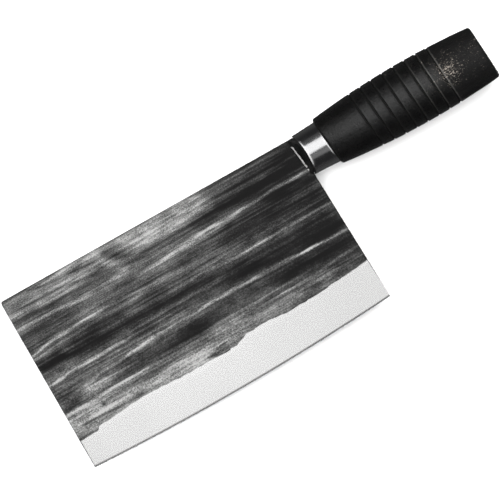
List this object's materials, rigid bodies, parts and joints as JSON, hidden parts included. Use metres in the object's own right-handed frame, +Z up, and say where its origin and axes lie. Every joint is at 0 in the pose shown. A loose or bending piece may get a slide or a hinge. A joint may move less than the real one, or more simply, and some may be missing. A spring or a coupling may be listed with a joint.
{
  "type": "meat cleaver",
  "caption": "Hand-forged meat cleaver: broad black-scale plate blade with a ground bevel, bright steel ferrule and a turned, grooved dark wooden handle.",
  "frame": {"origin": "on the table, under the middle of the object's box, with the cleaver lying at rest on the toe of its blade and the belly of its handle", "axes": "+X runs from the toe to the butt, +Y from the edge to the spine, and +Z is up from the table"},
  "size_m": [0.3176, 0.1188, 0.0402],
  "materials": {
    "forged_steel": "black forge scale with grey streaks, and a bright satin-ground bevel along the edge",
    "black_steel": "black forge scale",
    "polished_steel": "drawn and buffed bright, with fine handling marks",
    "stained_wood": "turned hardwood stained near black, worn satin, the grooves' lips lighter",
    "plain_steel": "mill finish, hammered at the peened head",
    "pitch": "poured cutler's pitch"
  },
  "bodies": {
    "root": {"blade": "forged_steel", "bolster": "black_steel", "ferrule": "polished_steel", "handle": "stained_wood", "tang": "plain_steel", "tang_bedding": "pitch", "butt_washer": "plain_steel"}
  },
  "joints": []
}
